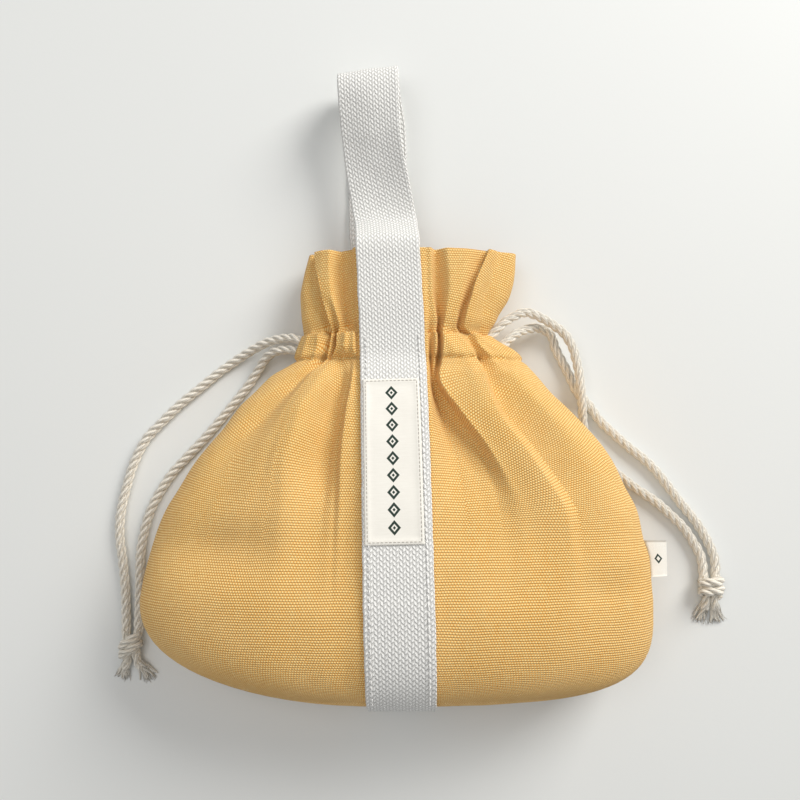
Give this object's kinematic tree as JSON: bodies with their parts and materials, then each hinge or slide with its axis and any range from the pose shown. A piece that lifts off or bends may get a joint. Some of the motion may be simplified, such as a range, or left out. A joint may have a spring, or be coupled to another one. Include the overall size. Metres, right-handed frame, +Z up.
{
  "type": "canvas drawstring pouch",
  "caption": "Soft gathered canvas pouch lying on its back, with a webbing strap that wraps the bag and makes a handle loop, and knotted drawcords at both sides.",
  "frame": {"origin": "on the table, under the middle of the bag's outline with its strap, handle loop and tag, without the drawcords", "axes": "+Z up from the table through the front of the lying bag, +Y towards the handle loop, +X towards the side with the tag"},
  "size_m": [0.3843, 0.3878, 0.0785],
  "materials": {
    "canvas": "matte mustard-yellow cotton canvas, coarse basket weave",
    "webbing": "matte off-white heavy cotton webbing",
    "label": "fine cream cotton with stitched edge",
    "tag": "fine cream ribbon, folded",
    "cord": "natural white three-strand twisted cotton"
  },
  "bodies": {
    "root": {"canvas_body": "canvas", "webbing_strap": "webbing", "woven_label": "label", "side_tag": "tag", "drawcord_left_outer": "cord", "drawcord_left_inner": "cord", "drawcord_right_under": "cord", "drawcord_right_over": "cord", "knot_left": "cord", "knot_right": "cord"}
  },
  "joints": []
}
